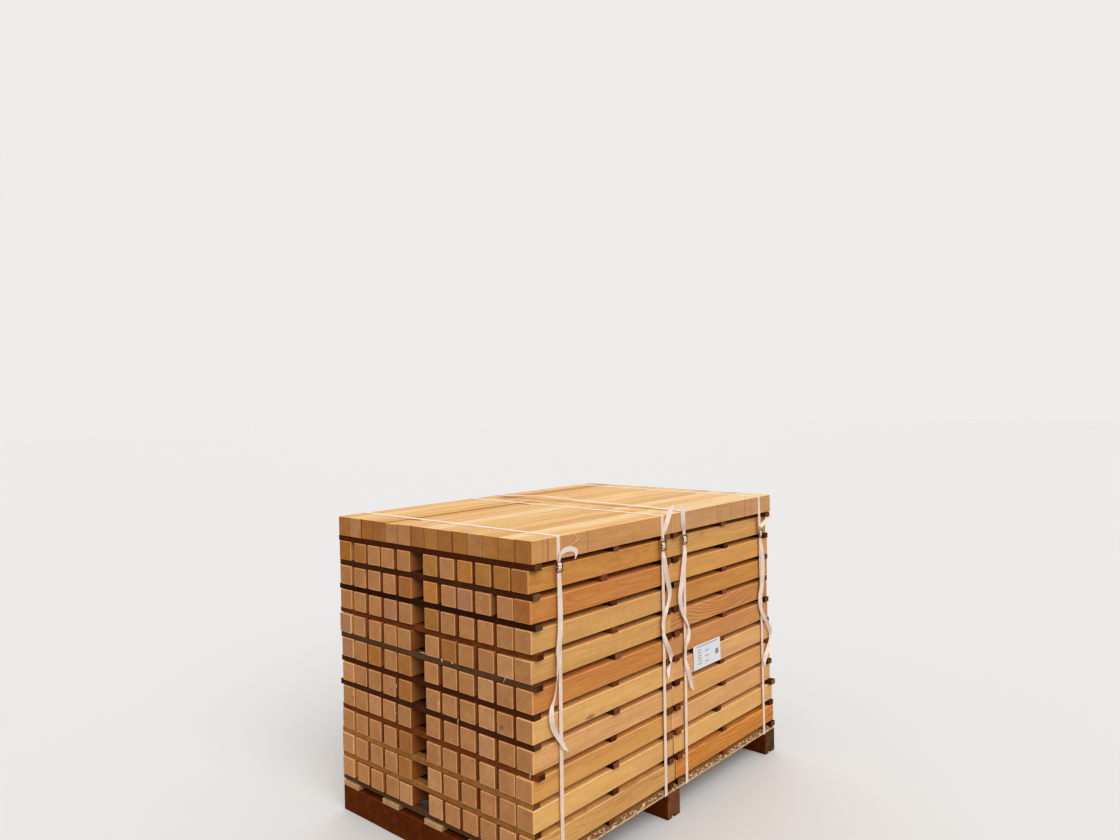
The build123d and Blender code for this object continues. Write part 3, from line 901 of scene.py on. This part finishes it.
def band_of_cords(name, start, direction, lead, route, turns, cut_side, slant):
    """The mesh of a band of nine cords along a smooth route, with its own length and width
    as UV, the points that it follows, and its length."""
    points = [start, start + direction * lead]
    points += [Vector((start.x, near_end + y / 1000, stack_top + z / 1000)) for y, z in route]
    trace = bpy.data.curves.new(name + "_route", "CURVE")
    trace.dimensions = "3D"
    trace.resolution_u = 12
    smooth_line(trace, points)
    path = [v.co.copy() for v in made_plain(put(name + "_route", trace)).vertices]
    rolls = []
    for place, spot in enumerate(path):
        share = place / (len(path) - 1) * (len(turns) - 1)
        low = min(int(share), len(turns) - 2)
        rolls.append(math.radians(turns[low] + (turns[low + 1] - turns[low]) * (share - low)))
        spot.x += abs(math.sin(rolls[-1])) * STRAP_WIDTH / 2
    length = [0.0]
    for before, after in zip(path, path[1:]):
        length.append(length[-1] + (after - before).length)
    profile = [(STRAP_WIDTH * (step / (2 * CORD_COUNT) - 0.5),
                CORD_RISE if step % 2 else CORD_DIP) for step in range(2 * CORD_COUNT + 1)]
    ring = profile + [(wide, -thick) for wide, thick in reversed(profile)]
    corners, flat = [], []
    for place, spot in enumerate(path):
        before, after = path[max(place - 1, 0)], path[min(place + 1, len(path) - 1)]
        forward = (after - before).normalized()
        wide_way = Vector((1, 0, 0)).cross(forward).normalized()
        rolled = Matrix.Rotation(rolls[place], 3, forward)
        wide_way, thick_way = rolled @ wide_way, rolled @ forward.cross(wide_way)
        # The tip is cut off on a long slant
        cut_off = TIP_SLANT * max(0.0, 1 - (length[-1] - length[place]) / slant)
        left = STRAP_WIDTH * (0.5 - cut_off)
        for wide, thick in ring:
            wide = cut_side * min(cut_side * wide, left)
            corners.append(spot + wide_way * wide + thick_way * thick)
            flat.append((length[place], wide))
    many = len(ring)
    faces = []
    for first in range(0, (len(path) - 1) * many, many):
        for corner in range(many):
            a, b = first + corner, first + (corner + 1) % many
            faces.append((a, b, b + many, a + many))
    faces.append(tuple(reversed(range(many))))
    faces.append(tuple(range((len(path) - 1) * many, len(path) * many)))
    mesh = bpy.data.meshes.new(name)
    mesh.from_pydata(corners, [], faces)
    layer = mesh.uv_layers.new(name="webbing")
    for loop in mesh.loops:
        layer.data[loop.index].uv = flat[loop.vertex_index]
    mesh.validate()
    mesh.update()
    form = bmesh.new()
    form.from_mesh(mesh)
    bmesh.ops.recalc_face_normals(form, faces=form.faces)
    form.to_mesh(mesh)
    form.free()
    return mesh, path, length[-1]


def band_place(axis):
    """Reads the band's own length (X) or width (Y)."""
    return lambda tree: add(tree, "SeparateXYZ", (add(tree, "UVMap", uv_map="webbing"),), axis)


loose_webbing = woven_cords("loose_polyester_webbing", band_place("Y"), band_place("X"),
                            "#F8EFE8")

for way, ends, sign in (("up", ENDS_UP, 1), ("down", ENDS_DOWN, -1)):
    for number, (lead, route, turns, slant) in enumerate(ends):
        cad_node = f"strap_end_{way}_{number + 1}"
        low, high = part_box(cad_node)
        lean = strap_lean(number)
        start_z = low[2] if sign > 0 else high[2]
        start_y = near_end + STRAP_TOP_Y[number] + lean * (stack_top - start_z)
        start = Vector(((low[0] + high[0]) / 2, start_y, start_z))
        direction = Vector((0, -lean, 1)).normalized() * sign
        name = f"loose_end_{way}_{number + 1}"
        mesh, path, length = band_of_cords(name, start, direction, lead / 1000, route, turns,
                                           sign, slant / 1000)
        mesh.materials.append(loose_webbing)
        piece = dress(name, mesh, cad_node)

# Label
# A plain coated card about 224 x 107 mm on the long side of the far block, pale and a
# little curled.  It carries only ruled bars and one plain block.

# Coated card: smooth, pale blue grey and a little glossy, with flat grey ink on it
card_coat, tree, shader = new_material("coated_label_card")
spot = add(tree, "TexCoord", out="Object")
shade = add(tree, "TexNoise", {"Vector": spot, "Scale": 30.0, "Detail": 3.0})
shade = add(tree, "Mix", {0: shade, 6: linear("#DADBDF"), 7: linear("#EAEAEC")}, **COLOUR)
feed(shader, {"Base Color": shade, "Roughness": 0.45})
ink, tree, shader = new_material("printed_grey_bar")
feed(shader, {"Base Color": linear("#7E838C"), "Roughness": 0.5})

# How far the lower edge is shifted along the stack, the card's distance from the beam and
# its thickness, and how far its two ends stand off
LABEL_SHEAR = 0.008
CARD_GAP, CARD_THICK, CARD_CURL = 0.0007, 0.0003, 0.0025
COLUMNS, ROWS = 56, 27
BAR_ROWS = (20, 17, 14, 11, 8, 5)
SECOND_BAR_ROWS = (17, 11, 5)
low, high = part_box("label_sheet")
label_long = high[1] - low[1] - LABEL_SHEAR
label_tall = high[2] - low[2]
corners, faces, printed = [], [], []
for side_x in (0, CARD_THICK):
    for row in range(ROWS + 1):
        for column in range(COLUMNS + 1):
            along, up = column / COLUMNS, row / ROWS
            curl = CARD_CURL * abs(2 * along - 1) ** 6 * up
            curl += 0.0006 * math.sin(9 * along + 3 * up)
            corners.append((high[0] + CARD_GAP + curl + side_x,
                            low[1] + label_long * along + LABEL_SHEAR * (1 - up),
                            low[2] + label_tall * up))
line_size = COLUMNS + 1
sheet_size = (ROWS + 1) * line_size
for row in range(ROWS):
    for column in range(COLUMNS):
        a = row * line_size + column
        quad = (a, a + 1, a + line_size + 1, a + line_size)
        faces += [tuple(reversed(quad)), tuple(corner + sheet_size for corner in quad)]
        bar = row in BAR_ROWS and 9 <= column <= 17 - (row * 5) % 3
        bar = bar or row in SECOND_BAR_ROWS and 24 <= column <= 31
        block = 45 <= column <= 51 and 9 <= row <= 14
        band = row == 24 and 8 <= column <= 50
        printed += [0, int(bar or block or band)]
rim = list(range(COLUMNS + 1))
rim += [row * line_size + COLUMNS for row in range(1, ROWS + 1)]
rim += [ROWS * line_size + column for column in range(COLUMNS - 1, -1, -1)]
rim += [row * line_size for row in range(ROWS - 1, 0, -1)]
for here, there in zip(rim, rim[1:] + rim[:1]):
    faces.append((here, there, there + sheet_size, here + sheet_size))
    printed.append(0)
mesh = bpy.data.meshes.new("label_card")
mesh.from_pydata(corners, [], faces)
mesh.materials.append(card_coat)
mesh.materials.append(ink)
for face, kind in zip(mesh.polygons, printed):
    face.material_index = kind
dress("label_card", mesh, "label_sheet")

# Floor, light and camera
# A plain pale studio floor and room, a broad soft lamp over the long side, a weaker one
# across from it, and a camera where the photograph was taken.


def pale_to_camera(tree):
    """1 for rays that show a surface to the camera, straight, mirrored or through glass."""
    ray = add(tree, "LightPath").node.outputs
    seen = add(tree, "Math", (ray["Is Camera Ray"], ray["Is Glossy Ray"]),
               operation="MAXIMUM")
    return add(tree, "Math", (seen, ray["Is Transmission Ray"]), operation="MAXIMUM")


# Painted concrete: pale to the eye; less light comes back from it than from white card
floor_paint, tree, shader = new_material("pale_painted_floor")
floor_tone = add(tree, "Mix", {0: pale_to_camera(tree), 6: linear("#9A958C"),
                               7: linear("#DEDCD9")}, **COLOUR)
feed(shader, {"Base Color": floor_tone, "Roughness": 0.95, "Specular IOR Level": 0.1})
FLOOR_REACH = 60
floor_mesh = bpy.data.meshes.new("studio_floor")
floor_mesh.from_pydata([(x * FLOOR_REACH, y * FLOOR_REACH, 0)
                        for x, y in ((-1, -1), (1, -1), (1, 1), (-1, 1))], [], [(0, 1, 2, 3)])
floor_mesh.materials.append(floor_paint)
floor = put("studio_floor", floor_mesh)

world = bpy.data.worlds.new("studio_room")
world.use_nodes = True
bpy.context.scene.world = world
tree = world.node_tree
room = tree.nodes["Background"]
seen = pale_to_camera(tree)
room_tone = add(tree, "Mix", {0: seen, 6: linear("#F2F3F5"), 7: linear("#EDECE9")}, **COLOUR)
room_light = add(tree, "MapRange", (seen, 0.0, 1.0, 0.78, 1.0))
feed(room, {"Color": room_tone, "Strength": room_light})

LAMP_DISTANCE = 6


def soft_lamp(name, towards, strength, spread):
    """A broad soft lamp far away in the direction towards; spread is its width in degrees."""
    light = bpy.data.lights.new(name, "SUN")
    light.energy = strength
    light.angle = math.radians(spread)
    holder = put(name, light)
    holder.rotation_euler = Vector(towards).to_track_quat("Z", "Y").to_euler()
    holder.location = Vector(towards) * LAMP_DISTANCE


soft_lamp("main_lamp", (0.694, -0.324, 0.643), 1.8, 50)
soft_lamp("fill_lamp", (-0.6, 0.6, 0.53), 0.5, 60)

# The photograph's camera, found from the directions of the stack's edges: its focal length
# and width in pixels, its place in metres, and its turns in degrees
FOCAL_PIXELS, PHOTO_WIDTH = 843.74, 1120
CAMERA_PLACE = (2.57645, -2.9646, 1.7612)
yaw, pitch, roll = [math.radians(turn) for turn in (-41.58, -1.194, -1.0706)]
camera_data = bpy.data.cameras.new("photograph_camera")
camera_data.sensor_width = 36.0
camera_data.lens = FOCAL_PIXELS / PHOTO_WIDTH * camera_data.sensor_width
camera_data.clip_end = 200.0
camera = put("photograph_camera", camera_data)
look = Vector((math.sin(yaw) * math.cos(pitch), math.cos(yaw) * math.cos(pitch),
               math.sin(pitch)))
right = Vector((math.cos(yaw), -math.sin(yaw), 0))
upward = right.cross(look)
right_rolled = math.cos(roll) * right + math.sin(roll) * upward
up_rolled = -math.sin(roll) * right + math.cos(roll) * upward
turned = Matrix((right_rolled, up_rolled, -look)).transposed()
camera.matrix_world = Matrix.Translation(CAMERA_PLACE) @ turned.to_4x4()
bpy.context.scene.camera = camera
bpy.context.scene.view_settings.view_transform = "Standard"
